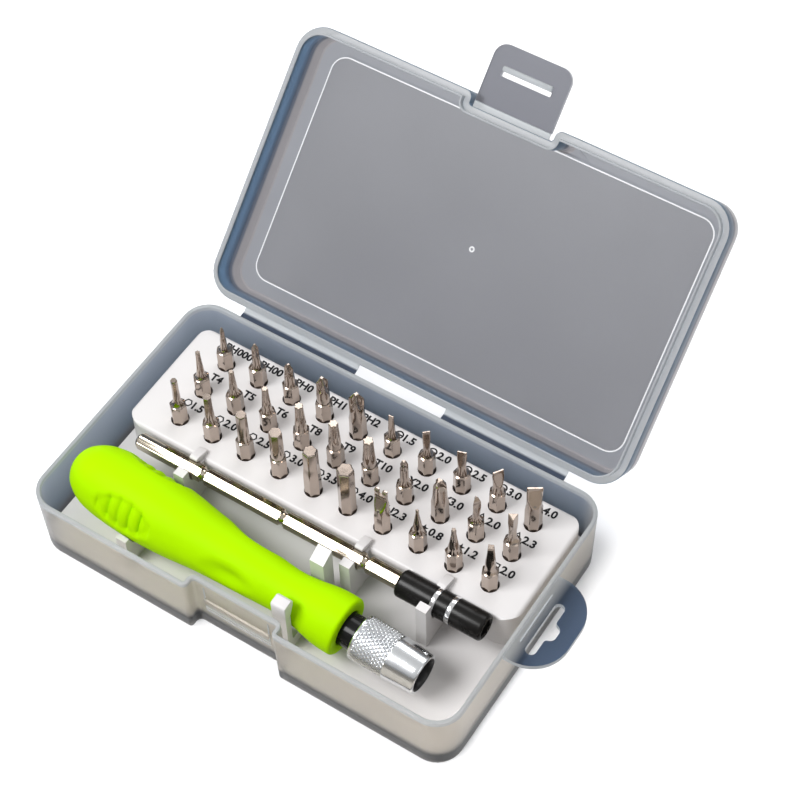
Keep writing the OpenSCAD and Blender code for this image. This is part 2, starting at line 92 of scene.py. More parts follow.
class Shape:
    """Collects the points and faces of one mesh, in millimetres, and the index of each face's
    material."""

    def __init__(self):
        self.points = []
        self.faces = []
        self.parts = []
        self.part = 0

    def add(self, points, faces, matrix=None):
        start = len(self.points)
        if matrix is not None:
            points = [matrix @ Vector(p) for p in points]
        self.points += [tuple(p) for p in points]
        self.faces += [[start + i for i in face] for face in faces]
        self.parts += [self.part] * len(faces)

    def loft(self, rings, matrix=None, close_start=True, close_end=True, bands=None):
        """Joins rings of equally many points, and closes the two ends. With bands, each band
        between two rings has a material index."""
        n = len(rings[0])
        points = [p for ring in rings for p in ring]
        faces = []
        for row in range(len(rings) - 1):
            for i in range(n):
                j = (i + 1) % n
                faces.append([row * n + i, row * n + j, (row + 1) * n + j, (row + 1) * n + i])
        if close_start:
            faces.append(list(range(n))[::-1])
        if close_end:
            faces.append([(len(rings) - 1) * n + i for i in range(n)])
        self.add(points, faces, matrix)
        if bands:
            indices = [band for band in bands for _ in range(n)]
            indices += [bands[0]] * close_start + [bands[-1]] * close_end
            self.parts[-len(indices):] = indices

    def box(self, low, high, matrix=None, bevel=0.0):
        """A box with chamfered edges."""
        bm = bmesh.new()
        size = Vector(high) - Vector(low)
        centre = (Vector(high) + Vector(low)) / 2
        bmesh.ops.create_cube(bm, size=1.0, matrix=Matrix.LocRotScale(centre, None, size))
        if bevel:
            bmesh.ops.bevel(bm, geom=bm.edges[:], offset=bevel, segments=2, profile=0.5,
                            affect="EDGES")
        bm.verts.index_update()
        self.add([v.co.copy() for v in bm.verts], [[v.index for v in f.verts] for f in bm.faces],
                 matrix)
        bm.free()

    def sheet(self, outline, hole, low, high, matrix=None, edge_part=1):
        """A flat sheet with a hole in it; the faces of its edges get another material."""
        bm = bmesh.new()
        edges = []
        for loop in (outline, hole):
            verts = [bm.verts.new((p[0], p[1], low)) for p in loop]
            edges += [bm.edges.new(pair) for pair in zip(verts, verts[1:] + verts[:1])]
        filled = bmesh.ops.triangle_fill(bm, use_beauty=True, edges=edges)
        faces = [g for g in filled["geom"] if isinstance(g, bmesh.types.BMFace)]
        solid = bmesh.ops.extrude_face_region(bm, geom=faces)
        moved = [g for g in solid["geom"] if isinstance(g, bmesh.types.BMVert)]
        bmesh.ops.translate(bm, verts=moved, vec=(0, 0, high - low))
        flat = self.part
        for face in bm.faces:
            face.normal_update()
            self.part = flat if abs(face.normal.z) > 0.5 else edge_part
            self.add([v.co.copy() for v in face.verts], [list(range(len(face.verts)))], matrix)
        self.part = flat
        bm.free()

    def build(self, name, mats, smooth=40.0):
        """An object in metres, shaded smooth across edges under an angle in degrees."""
        mesh = bpy.data.meshes.new(name)
        mesh.from_pydata([Vector(p) * MM for p in self.points], [], self.faces)
        for mat in mats:
            mesh.materials.append(mat)
        mesh.polygons.foreach_set("material_index", self.parts)
        mesh.validate()
        bm = bmesh.new()
        bm.from_mesh(mesh)
        bmesh.ops.remove_doubles(bm, verts=bm.verts, dist=1e-7)
        bmesh.ops.recalc_face_normals(bm, faces=bm.faces)
        bm.to_mesh(mesh)
        bm.free()
        mesh.shade_smooth()
        mesh.set_sharp_from_angle(angle=math.radians(smooth))
        piece = bpy.data.objects.new(name, mesh)
        bpy.context.scene.collection.objects.link(piece)
        return piece


def rounded(corners, steps):
    """Points of a polygon with round corners; corners are (x, y, radius), anticlockwise."""
    out = []
    count = len(corners)
    for i, (x, y, radius) in enumerate(corners):
        here = Vector((x, y))
        back = (Vector(corners[i - 1][:2]) - here).normalized()
        ahead = (Vector(corners[(i + 1) % count][:2]) - here).normalized()
        half = back.angle(ahead) / 2
        reach = radius / math.tan(half)
        start = here + back * reach
        end = here + ahead * reach
        if radius < 1e-6 or half > 1.56:
            out += [here.copy() for _ in range(steps + 1)]
            continue
        centre = here + (back + ahead).normalized() * radius / math.sin(half)
        first = start - centre
        turn = first.angle_signed(end - centre)
        for k in range(steps + 1):
            spin = Matrix.Rotation(-turn * k / steps, 2)
            out.append(centre + spin @ first)
    return out


def case_outline(inset, notch=True, corner=CORNER_R):
    """The case's plan drawn in by an inset, with or without the latch recess."""
    x = CASE_W / 2 - inset
    y = CASE_D / 2 - inset
    half = RECESS_W / 2 + inset
    mouth = half if notch else half + 3.0
    depth = RECESS_D if notch else 0.0
    r = max(corner - inset, 0.5)
    outer_r = max(1.5 - inset, 0.3) if notch else 0.0
    inner_r = 0.9 + max(inset, 0.0) if notch else 0.0
    return rounded([
        (-x, y, r), (-x, -y, r),
        (-mouth, -y, outer_r), (-half, -y + depth, inner_r),
        (half, -y + depth, inner_r), (mouth, -y, outer_r),
        (x, -y, r), (x, y, r),
    ], 8)


def lifted(outline, z):
    return [(p[0], p[1], z) for p in outline]


def opened():
    """The matrix that takes the closed lid to where it stands open, in millimetres."""
    to_hinge = Matrix.Translation((0, HINGE_Y, BASE_H))
    return to_hinge @ Matrix.Rotation(math.radians(-LID_OPEN), 4, "X") @ to_hinge.inverted()


def arc_path(centre, radius, start, end, steps):
    """Points of an arc in a section's plane, angles in degrees."""
    return [
        (centre[0] + radius * math.cos(math.radians(start + (end - start) * k / steps)),
         centre[1] + radius * math.sin(math.radians(start + (end - start) * k / steps)))
        for k in range(steps + 1)
    ]


def ring_round(radius, z, around):
    """Points round the z axis; radius is a number or a function of the angle."""
    points = []
    for k in range(around):
        angle = 2 * math.pi * k / around
        r = radius(angle) if callable(radius) else radius
        points.append((r * math.cos(angle), r * math.sin(angle), z))
    return points


def mix(a, b, t):
    return a + (b - a) * t


# ---------------------------------------------------------------- materials

# Tints of the plastic: clear where the tray shows through the front; the slates, the foot and the
# seam are painted shade, the rim grey is a painted highlight
CLEAR = (0.555, 0.515, 0.455)
SLATE = (0.25, 0.285, 0.34)
DEEP_SLATE_SHADE = (0.085, 0.11, 0.14)
FOOT_SHADE = (0.06, 0.063, 0.067)
BLUE_SLATE_SHADE = (0.095, 0.165, 0.26)
SEAM_SHADE = (0.05, 0.066, 0.10)
WARM_GREY = (0.27, 0.26, 0.27)
PANEL_GREY = (0.228, 0.231, 0.247)
MARGIN_GREY = (0.255, 0.275, 0.305)
RIM_HIGHLIGHT_GREY = (0.47, 0.49, 0.505)
LATCH_GREY = (0.168, 0.172, 0.196)
TAB_SLATE_SHADE = (0.065, 0.095, 0.15)
FROST = 0.28
# The painted shade at the wall's foot ends above this height
FOOT_Z = 4.5
UP = (0, 0, 1)
TO_FRONT = (0.515, -0.857, 0)
# Direction from the open lid's rim to its ceiling, and how far along it the rim lies
LID_IN = (0.0, math.sin(math.radians(LID_OPEN)), math.cos(math.radians(LID_OPEN)))
LID_RIM_AT = HINGE_Y * LID_IN[1] + BASE_H * LID_IN[2]


def grey(value):
    return (value, value, value, 1.0)


class Look:
    """Builds the nodes of a material or of the world; methods return the socket to use."""

    def __init__(self, owner):
        owner.use_nodes = True
        self.owner = owner
        self.nodes = owner.node_tree.nodes
        self.link = owner.node_tree.links.new
        self.shader = self.nodes.get("Principled BSDF") or self.nodes["Background"]

    def set(self, name, value):
        self.shader.inputs[name].default_value = value

    def noise(self, scale, detail, stretch=None):
        """A noise texture in object coordinates; scale is in cells per metre."""
        place = self.nodes.new("ShaderNodeTexCoord").outputs["Object"]
        if stretch:
            mapping = self.nodes.new("ShaderNodeMapping")
            mapping.inputs["Scale"].default_value = stretch
            self.link(place, mapping.inputs["Vector"])
            place = mapping.outputs["Vector"]
        texture = self.nodes.new("ShaderNodeTexNoise")
        texture.inputs["Scale"].default_value = scale
        texture.inputs["Detail"].default_value = detail
        self.link(place, texture.inputs["Vector"])
        return texture.outputs["Fac"]

    def ramp(self, source, low, high, start=0.3, end=0.7):
        """Turns a value into a colour between two colours."""
        node = self.nodes.new("ShaderNodeValToRGB")
        first, last = node.color_ramp.elements
        first.position = start
        first.color = low
        last.position = end
        last.color = high
        self.link(source, node.inputs["Fac"])
        return node.outputs["Color"]

    def bump(self, source, strength, distance):
        node = self.nodes.new("ShaderNodeBump")
        node.inputs["Strength"].default_value = strength
        node.inputs["Distance"].default_value = distance
        self.link(source, node.inputs["Height"])
        self.link(node.outputs["Normal"], self.shader.inputs["Normal"])

    def varied(self, colour, spread, scale, roughness, rough_spread):
        """Colour and roughness that vary a little over the surface."""
        clouds = self.noise(scale, 2.0)
        low = tuple(c * (1 - spread) for c in colour) + (1.0,)
        high = tuple(min(c * (1 + spread), 1.0) for c in colour) + (1.0,)
        self.link(self.ramp(clouds, low, high), self.shader.inputs["Base Color"])
        rough = self.ramp(clouds, grey(roughness - rough_spread), grey(roughness + rough_spread))
        self.link(rough, self.shader.inputs["Roughness"])

    def along(self, direction, start, end):
        """A value from 0 to 1 that rises from start to end millimetres along a direction."""
        dot = self.nodes.new("ShaderNodeVectorMath")
        dot.operation = "DOT_PRODUCT"
        dot.inputs[1].default_value = Vector(direction).normalized()
        self.link(self.nodes.new("ShaderNodeTexCoord").outputs["Object"], dot.inputs[0])
        span = self.nodes.new("ShaderNodeMapRange")
        span.inputs["From Min"].default_value = start * MM
        span.inputs["From Max"].default_value = end * MM
        self.link(dot.outputs["Value"], span.inputs["Value"])
        return span.outputs["Result"]

    def mixed(self, share, low, high, blend="MIX"):
        """Mixes two colours or two colour sockets by a number or a value socket."""
        node = self.nodes.new("ShaderNodeMix")
        node.data_type = "RGBA"
        node.blend_type = blend
        colour_sockets = [i for i in node.inputs if i.type == "RGBA"]
        for socket, value in zip([node.inputs["Factor"]] + colour_sockets, (share, low, high)):
            if isinstance(value, float):
                socket.default_value = value
            elif isinstance(value, tuple):
                socket.default_value = value + (1.0,)
            else:
                self.link(value, socket)
        return [o for o in node.outputs if o.type == "RGBA"][0]

    def let_light_through(self):
        """Rays from lamps pass the plastic with a faint tint, so that its shadows stay soft."""
        path = self.nodes.new("ShaderNodeLightPath")
        pale = self.nodes.new("ShaderNodeBsdfTransparent")
        pale.inputs["Color"].default_value = grey(0.88)
        either = self.nodes.new("ShaderNodeMixShader")
        self.link(path.outputs["Is Shadow Ray"], either.inputs[0])
        self.link(self.shader.outputs["BSDF"], either.inputs[1])
        self.link(pale.outputs["BSDF"], either.inputs[2])
        self.link(either.outputs["Shader"], self.nodes["Material Output"].inputs["Surface"])


def new_look(name):
    return Look(bpy.data.materials.new(name))


def frosted_material(name, tint, transmission=0.86):
    """Translucent moulded polypropylene, faintly clouded; the tint is a colour or a function
    that makes one."""
    look = new_look(name)
    colour = tint(look) if callable(tint) else tint
    clouds = look.ramp(look.noise(45.0, 1.0), grey(0.96), grey(1.0))
    look.link(look.mixed(1.0, colour, clouds, "MULTIPLY"), look.shader.inputs["Base Color"])
    look.set("Roughness", FROST)
    look.set("Transmission Weight", transmission)
    look.set("IOR", 1.18)
    look.let_light_through()
    return look.owner


def wall_tint(look):
    """Clear where the tray shows through the front; slate elsewhere, as painted shade that deepens
    lower down the wall, and painted dark shade at the foot.
    """
    slate = look.mixed(look.along(UP, 6.0, 20.0), DEEP_SLATE_SHADE, SLATE)
    body = look.mixed(look.along(TO_FRONT, -3.0, 6.0), slate, CLEAR)
    return look.mixed(look.along(UP, FOOT_Z, FOOT_Z + 1.6), FOOT_SHADE, body)


def tab_tint(look):
    # Pale next to the wall, a painted highlight, turning to slate out along the tab, painted shade
    share = look.along((1, 0, 0), CASE_W / 2 + 1.0, CASE_W / 2 + 4.0)
    return look.mixed(share, RIM_HIGHLIGHT_GREY, TAB_SLATE_SHADE)


def lid_tint(look):
    """From the open lid's rim inwards: blue slate as painted shade, a darker band of painted shade
    at the lip, then warm grey.
    """
    depth = LID_H - CEILING_T

    def past(start, end):
        return look.along(LID_IN, LID_RIM_AT + start * depth, LID_RIM_AT + end * depth)

    return look.mixed(past(0.58, 0.68), look.mixed(past(0.38, 0.47), BLUE_SLATE_SHADE, SEAM_SHADE), WARM_GREY)


def hinge_tint(look):
    # Painted shadow, a dark band, on the base's side of the bend, and the paler rim grey beyond it
    # as a painted highlight
    return look.mixed(look.along((0, 1, 0), HINGE_Y - 0.6, HINGE_Y + 0.1), SEAM_SHADE, RIM_HIGHLIGHT_GREY)


def tray_material():
    """Pale grey moulded polystyrene."""
    look = new_look("tray_plastic")
    look.varied((0.60, 0.585, 0.585), 0.01, 90.0, 0.40, 0.03)
    look.set("Specular IOR Level", 0.35)
    return look.owner


def grip_material():
    """Soft-touch lime rubber."""
    look = new_look("grip_rubber")
    look.varied((0.345, 0.665, 0.0), 0.015, 120.0, 0.5, 0.03)
    look.set("Specular IOR Level", 0.02)
    look.bump(look.noise(5000.0, 2.0), 0.06, 0.0001)
    return look.owner


def metal_material(name, colour, roughness, spread=0.03, grain=1.0, stretch=(1, 1, 0.05)):
    """Bare metal with fine lines along one direction."""
    look = new_look(name)
    look.set("Metallic", 1.0)
    look.varied(colour, spread, 500.0, roughness, roughness * 0.1)
    look.bump(look.noise(6000.0, 1.0, stretch), 0.02 * grain, 0.00005)
    return look.owner


def gloss_material(name, colour, shine, roughness=0.18):
    """Gloss black plastic."""
    look = new_look(name)
    look.varied(colour, 0.1, 200.0, roughness, 0.02)
    look.set("Specular IOR Level", shine)
    return look.owner


def ink_material():
    look = new_look("black_ink")
    look.varied((0.012, 0.012, 0.014), 0.2, 1500.0, 0.5, 0.05)
    look.set("Specular IOR Level", 0.1)
    return look.owner


# Copies of the one frosted plastic, tinted apart: painted shade in the walls', tab's, lid walls' and
# hinges' tints, a paler painted highlight in the rim and line copies
WALLS = frosted_material("frosted_walls", wall_tint)
UNDERSIDE = frosted_material("frosted_underside", CLEAR)
RIM = frosted_material("frosted_rim_highlight", RIM_HIGHLIGHT_GREY, transmission=0.45)
TAB = frosted_material("frosted_tab", tab_tint)
LID_WALLS = frosted_material("frosted_lid_walls", lid_tint)
LID_MARGIN = frosted_material("frosted_lid_margin", MARGIN_GREY)
PANEL = frosted_material("frosted_panel", PANEL_GREY)
LATCH = frosted_material("frosted_latch", LATCH_GREY)
HIGHLIGHT_LINE = frosted_material("frosted_highlight_line", (0.85, 0.85, 0.86), transmission=0.2)
HINGE = frosted_material("frosted_hinge", hinge_tint, transmission=0.6)
GRIP = grip_material()
TRAY = tray_material()
BIT_METAL = metal_material("satin_nickel", (0.43, 0.36, 0.31), 0.13)
ROD_METAL = metal_material("rod_chrome", (0.53, 0.47, 0.38), 0.15, 0.02, 0.0)
RING_METAL = metal_material("ring_chrome", (0.85, 0.85, 0.86), 0.12, 0.02, 0.3, (0.05, 1, 1))
SLEEVE_METAL = metal_material("sleeve_aluminium", (0.78, 0.80, 0.82), 0.19, 0.02, 0.3,
                              (0.05, 1, 1))
# Darker metal for the faces deep in the knurl's grooves: painted shade
GROOVE_SHADE_METAL = metal_material("knurl_groove", (0.42, 0.43, 0.45), 0.35)
NECK_BLACK = gloss_material("neck_black", (0.008, 0.008, 0.008), 0.15)
SOCKET_BLACK = gloss_material("socket_black", (0.008, 0.0075, 0.007), 0.17, 0.27)
BORE_BLACK = gloss_material("bore_black", (0.02, 0.02, 0.022), 0.4, 0.3)
INK = ink_material()


# ---------------------------------------------------------------- case

def shell_path(draft, height, edge_r, rim_r, floor_t, fillet_r):
    """(inset, z) of the base's section, from the underside's middle round to the floor inside."""
    outside = arc_path((draft + edge_r, edge_r), edge_r, 270, 180, 6)
    rim_out = arc_path((rim_r, height - rim_r), rim_r, 180, 90, 4)
    rim_in = arc_path((WALL - rim_r, height - rim_r), rim_r, 90, 0, 4)
    inside = arc_path((WALL + draft + fillet_r, floor_t + fillet_r), fillet_r, 180, 270, 6)
    band = (draft * RIM_BAND / (height - edge_r), height - RIM_BAND)
    return outside + [band] + rim_out + rim_in + [(WALL + band[0], band[1])] + inside


def base_shell():
    shape = Shape()
    path = shell_path(0.45, BASE_H - RIM_GAP, 1.2, 0.35, WALL, 2.0)
    # Faces near the top of the wall get the paler rim grey, a painted highlight along the rim
    rim_highlight_from = BASE_H - RIM_GAP - RIM_BAND - 0.01
    bands = [1 if min(a[1], b[1]) > rim_highlight_from else 0 for a, b in zip(path, path[1:])]
    bands[0] = bands[-1] = 3
    shape.loft([lifted(case_outline(inset), z) for inset, z in path], bands=bands)
    face_y = -CASE_D / 2 + RECESS_D
    shape.box((-CATCH_W / 2, face_y - CATCH_OUT, 12.05), (CATCH_W / 2, face_y - 0.01, 13.95),
              bevel=0.25)
    # Thin pale lines on the recess face, drawn in the rim's painted-highlight grey
    shape.part = 1
    line = 0.35
    line_y = (face_y - 0.11, face_y - 0.01)
    frame_z = 10.6
    for z in (8.4, 9.5, frame_z):
        shape.box((-CATCH_W / 2, line_y[0], z), (CATCH_W / 2, line_y[1], z + line))
    for x in (-CATCH_W / 2, CATCH_W / 2 - line):
        shape.box((x, line_y[0], frame_z), (x + line, line_y[1], BASE_H - 2.5))
    return shape


def hang_slot():
    """Outline of the hang tab's slot with its round bay."""
    x = CASE_W / 2
    inner = x + 3.4
    outer = x + 6.2
    bay = 2.3
    half = 7.9
    end_r = 1.35
    outline = rounded([
        (inner, half, end_r), (inner, -half, end_r), (outer, -half, end_r),
        (outer, -bay * 1.15, 0.8), (outer + bay * 0.86, -bay * 0.8, 1.6),
        (outer + bay * 0.86, bay * 0.8, 1.6), (outer, bay * 1.15, 0.8), (outer, half, end_r),
    ], 6)
    to_front = 1.4
    return [Vector((x, y - to_front)) for x, y in outline]


def hang_tab(shape):
    """The tab with its slot: a sheet between the tab's outline and the slot's."""
    x = CASE_W / 2
    out = 12.2
    half = 13.0
    top = BASE_H - RIM_GAP
    low = BASE_H - 1.5
    outline = rounded([
        (x + 0.02, half, 0.1), (x + 0.02, -half, 0.1), (x + out, -half, 10.0), (x + out, half, 10.0),
    ], 10)
    shape.sheet(outline, hang_slot(), low, top)
    # A low ridge by the slot, in the rim's grey as a painted highlight
    shape.part = 1
    shape.box((x + 1.3, -7.5, top + 0.01), (x + 1.75, 7.5, top + 0.4), bevel=0.15)


def make_base():
    shape = base_shell()
    shape.part = 2
    hang_tab(shape)
    piece = shape.build("case_base_shell", (WALLS, RIM, TAB, UNDERSIDE), 35)
    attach(piece, "case")
    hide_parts("case_base")


def lid_path():
    """(inset, z above the rim, notch) of the lid's section, from the ceiling inside round the
    lip and the wall to the panel outside."""
    lip_out = WALL + 0.15
    lip_in = lip_out + 0.55
    lip_end = -1.8
    outer_r = 1.6
    ceiling = LID_H - CEILING_T
    path = [(lip_in + 0.4, ceiling)]
    path += arc_path((lip_in + 0.1, ceiling - 0.35), 0.35, 90, 180, 4)
    path += [(lip_in - 0.25, 4.0), (lip_in, 2.2)]
    path += arc_path((lip_in - 0.2, lip_end + 0.2), 0.2, 0, -90, 3)
    path += arc_path((lip_out + 0.2, lip_end + 0.2), 0.2, 270, 180, 3)
    path += [(lip_out, 0.0), (lip_out - 0.05, 0.0)]
    path += arc_path((-LID_OVER + 0.3, 0.3), 0.3, 270, 180, 3)
    path += arc_path((-LID_OVER + 0.9 + outer_r, LID_H - outer_r), outer_r, 180, 90, 6)
    return path


def panel_ring(inset, z):
    """A plain ring of the lid without the latch's notch, inset from the panel's edge."""
    corner = PANEL_MARGIN + PANEL_CORNER_R
    return lifted(case_outline(PANEL_MARGIN + inset, notch=False, corner=corner), z)


def make_lid():
    turn = opened()
    ceiling = BASE_H + LID_H - CEILING_T
    top = BASE_H + LID_H
    # Each ring's band indexes the lid's materials; band 4, the line material, is a painted highlight
    # along the panel's step
    inner_panel = ((0.6, ceiling + 0.15, 3), (0.42, ceiling + 0.15, 3), (0.36, ceiling, 4),
                   (0.0, ceiling, 2))
    rings = [panel_ring(inset, z) for inset, z, band in inner_panel]
    bands = [band for inset, z, band in inner_panel]
    # Faces at the rim, index 1, get the paler rim grey, a painted highlight
    for inset, z in lid_path():
        rings.append(lifted(case_outline(inset), BASE_H + z))
        bands.append(1 if z < 0.02 else 0)
    for inset, rise in ((-0.6, 0.0), (0.0, 0.45), (0.2, 0.6), (0.9, 0.6)):
        rings.append(panel_ring(inset, top + rise))
        bands.append(3)
    shape = Shape()
    shape.loft(rings, turn, bands=bands[:-1])
    shape.part = 4
    gate = [(0.35, 0.0), (0.45, -0.12), (0.75, -0.12), (0.85, 0.1)]
    shape.loft([ring_round(r, ceiling + 0.14 + z, 24) for r, z in gate],
               turn @ Matrix.Translation((GATE_X, 0, 0)), close_start=False, close_end=False)
    # The ledge under the latch, in the rim's painted-highlight grey
    shape.part = 1
    face_y = -CASE_D / 2 + RECESS_D - LID_OVER
    ledge_y = LATCH_Y + LATCH_ROOT
    shape.box((-LATCH_W / 2, ledge_y, BASE_H), (LATCH_W / 2, face_y - 0.01, BASE_H + LATCH_T), turn,
              0.15)
    piece = shape.build("lid_shell", (LID_WALLS, RIM, LID_MARGIN, PANEL, HIGHLIGHT_LINE), 35)
    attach(piece, "lid")
    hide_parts("lid")


def make_latch():
    turn = opened() @ Matrix.Translation((0, LATCH_Y, BASE_H))
    shape = Shape()
    half = LATCH_W / 2
    slot_half = 7.1
    slot_y = -10.1
    slot_t = 1.3
    outline = rounded([
        (-half, -LATCH_ROOT, 0.2), (-half, -LATCH_L, 3.5), (half, -LATCH_L, 3.5),
        (half, -LATCH_ROOT, 0.2),
    ], 8)
    slot = rounded([
        (-slot_half, slot_y + slot_t, 0.3), (-slot_half, slot_y, 0.3),
        (slot_half, slot_y, 0.3), (slot_half, slot_y + slot_t, 0.3),
    ], 3)
    shape.sheet(outline, slot, 0, LATCH_T, turn)
    # The ridge under the slot, in the rim's painted-highlight grey
    shape.part = 1
    shape.box((-slot_half, slot_y - 1.5, -0.95), (slot_half, slot_y, -0.01), turn, 0.38)
    piece = shape.build("latch_plate", (LATCH, RIM), 35)
    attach(piece, "latch")
    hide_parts("latch_flap")


def hinge_section():
    """(y, z) round the lens-shaped section of a strip, drawn at rest with its bend."""
    reach = HINGE_REACH
    angle = math.radians(180 - LID_OPEN)
    thick = 0.5
    lower = []
    upper = []
    steps = 10
    for k in range(steps + 1):
        t = -1 + 2 * k / steps
        lean = 0.0 if t < 0 else angle
        point = (HINGE_Y + t * reach * math.cos(lean), BASE_H + t * reach * math.sin(lean))
        slope = angle * (t + 1) / 2
        web = thick * (0.45 + 0.55 * min(abs(t) * 1.4, 1.0))
        upper.append(point)
        lower.append((point[0] + web * math.sin(slope), point[1] - web * math.cos(slope)))
    return upper + lower[::-1]


def make_hinges():
    """The two strips between base and lid: they bend at the hinge line."""
    section = hinge_section()
    steps = 24
    for side, name in ((-1, "hinge_strip_left"), (1, "hinge_strip_right")):
        low, high = sorted((side * HINGE_IN, side * HINGE_OUT))
        shape = Shape()
        shape.loft([[(mix(low, high, k / steps), y, z) for y, z in section]
                    for k in range(steps + 1)])
        piece = shape.build(name, (HINGE,), 50)
        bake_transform(piece)


def make_latch_film():
    turn = opened()
    shape = Shape()
    steps = 8
    reach = 0.9
    half = LATCH_W / 2
    rings = []
    for k in range(steps + 1):
        y = LATCH_Y + reach - 2 * reach * k / steps
        thick = LATCH_FILM_T * (1.0 + 0.3 * abs(2 * k / steps - 1))
        rings.append([(-half, y, BASE_H), (half, y, BASE_H), (half, y, BASE_H + thick),
                      (-half, y, BASE_H + thick)])
    shape.loft(rings, turn)
    # The film is in the rim's painted-highlight grey
    piece = shape.build("latch_film", (RIM,), 50)
    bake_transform(piece)


make_base()
make_lid()
make_latch()
make_hinges()
make_latch_film()


# ---------------------------------------------------------------- tray

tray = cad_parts["tray"]
tray.data.materials.clear()
tray.data.materials.append(TRAY)
soften = tray.modifiers.new("soft_edges", "BEVEL")
soften.width = 0.25 * MM
soften.segments = 2
soften.angle_limit = math.radians(50)


def snap_hook(name, centre_x, width, section):
    """The snap head on a post of the tray, from its section in y and z. The CAD's posts end
    straight, because handle and rod have to lift out there without bending anything."""
    mid_y = sum(y for y, z, r in section) / len(section)
    mid_z = sum(z for y, z, r in section) / len(section)
    shape = Shape()
    rings = []
    soft = 0.3
    fine = 0.08
    for inset, x in ((soft, 0.0), (fine, fine), (0.0, soft), (0.0, width - soft),
                     (fine, width - fine), (soft, width)):
        shrink = 1 - inset / 2.5
        rings.append([(centre_x - width / 2 + x, mid_y + (y - mid_y) * shrink,
                       mid_z + (z - mid_z) * shrink) for y, z in rounded(section, 4)])
    shape.loft(rings)
    piece = shape.build(name, (TRAY,), 35)
    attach(piece, "case")


WAIST_HOOK = [(-31.3, 18.5, 0.2), (-29.2, 18.5, 0.2), (-28.0, 21.6, 0.8), (-27.7, 23.0, 0.5),
              (-28.5, 23.9, 0.5), (-31.3, 23.7, 0.6)]
NIB_HOOK = [(0.4, 15.4, 0.1), (0.2, 16.8, 0.3), (-3.5, 17.9, 0.3), (-4.45, 17.7, 0.25),
            (-4.4, 16.95, 0.15), (-3.4, 16.4, 0.3), (-3.15, 15.4, 0.1)]
snap_hook("waist_hook", 10.6, 4.2, WAIST_HOOK)
for number, x in enumerate((-34.6, 15.7)):
    snap_hook("rod_hook_%d" % number, x, 2.4, NIB_HOOK)
snap_hook("socket_hook", 38.7, 2.4, [(y + 1.4, z, r) for y, z, r in NIB_HOOK])


# ---------------------------------------------------------------- bits

AROUND = 96


def regular(sides, apothem, turn=0.0, corner=0.985):
    """Radius of a regular polygon with barely rounded corners, at an angle."""
    step = 2 * math.pi / sides

    def radius(angle):
        local = (angle - turn) % step - step / 2
        return min(apothem / math.cos(local), apothem / math.cos(step / 2) * corner)

    return radius


def lobes(count, outer, inner, power=1.0):
    def radius(angle):
        wave = (0.5 + 0.5 * math.cos(count * angle)) ** power
        return inner + (outer - inner) * wave

    return radius


def flat_blade(half_w, half_t):
    def radius(angle):
        across = abs(math.sin(angle))
        return min(half_w, half_t / across) if across > 1e-6 else half_w

    return radius


def wings(count, outer, hub, half_t):
    """Narrow bars round a hub."""
    step = 2 * math.pi / count

    def radius(angle):
        local = (angle + step / 2) % step - step / 2
        across = abs(math.sin(local))
        bar = half_t / across if across > 1e-6 else outer
        return max(min(outer, bar), hub)

    return radius


def blend_radius(f, g, t):
    return lambda angle: mix(f(angle), g(angle), t)


SHANK = regular(6, DRIVE_FLATS / 2)
SHANK_UP = 6.6
CHAMFER_H = 0.42
TAPER_FROM = 0.78
TIP_EDGE = 0.12
STRAIGHT_HEX_EDGE = 0.45
PRONG_H = 2.0
FORK_HALF_W = 1.7
FORK_HALF_T = 0.42
POINTED_BIT = ("triangle", 2.0)
# From these sizes on, a bit's shank runs into its tip without a shoulder
STRAIGHT_FROM = {"hex": 3.5, "slot": 4.0, "cross": 4.0, "wing": 3.0, "fork": 2.0}


def straight(kind, size):
    return kind in STRAIGHT_FROM and size >= STRAIGHT_FROM[kind]



def bit_rows(kind, size, rise):
    """(z above the block, radius function) from the hole's floor to the tip."""
    rows = [(-HOLE_DEPTH + 0.05, lambda a: SHANK(a) * 0.93)]
    rows += [(z, SHANK) for z in (-HOLE_DEPTH + 0.5, -4.0, -1.0, 2.0, SHANK_UP - CHAMFER_H)]
    tip_r, root_r, cone_l = tip_sizes(kind, size)
    corner_r = DRIVE_FLATS / 2 / math.cos(math.radians(30))
    chamfer_r = min(DRIVE_FLATS / 2 * 0.84, 2 * root_r)
    if not straight(kind, size):
        for k in range(7):
            limit = mix(corner_r, chamfer_r, k / 6)
            rows.append((SHANK_UP + CHAMFER_H * (k / 6 - 1), lambda a, m=limit: min(SHANK(a), m)))
        for k in range(1, 9):
            r = mix(chamfer_r, root_r, 1 - (1 - k / 8) ** 2.2)
            rows.append((SHANK_UP + cone_l * k / 8, lambda a, m=r: m))
    elif kind != "hex":
        for k in range(9):
            rows.append((SHANK_UP + cone_l * k / 8, blend_radius(SHANK, lambda a: root_r, k / 8)))
    start = SHANK_UP + cone_l
    steps = 14
    for k in range(1, steps + 1):
        t = k / steps
        rows.append((mix(start, rise, t), BLADES[kind](kind, size, root_r, tip_r, t)))
    return rows


def tip_sizes(kind, size):
    """(tip radius, blade root radius, cone length) of a kind of bit."""
    half = size / 2
    if kind == "cross":
        return half, min(half + 0.15, DRIVE_FLATS / 2 * 0.97), 2.4
    if kind == "slot":
        return half, 1.95 if straight(kind, size) else max(0.9, half * 0.85), 3.0
    if kind == "star":
        return half, half + 0.35, 2.4
    if kind == "five":
        return half, half + 0.75, 2.2
    if kind == "wing":
        return half, half + (0.4 if straight(kind, size) else 0.15), 2.4
    if kind == "hex":
        return half, min(half + 0.25, 1.98), 1.0 if straight(kind, size) else 2.4
    if kind == "fork":
        return FORK_HALF_W, 1.9, 2.4
    if kind == "triangle":
        return half, size * 0.46, 2.4
    return size * 0.36, size * 0.7, 2.0


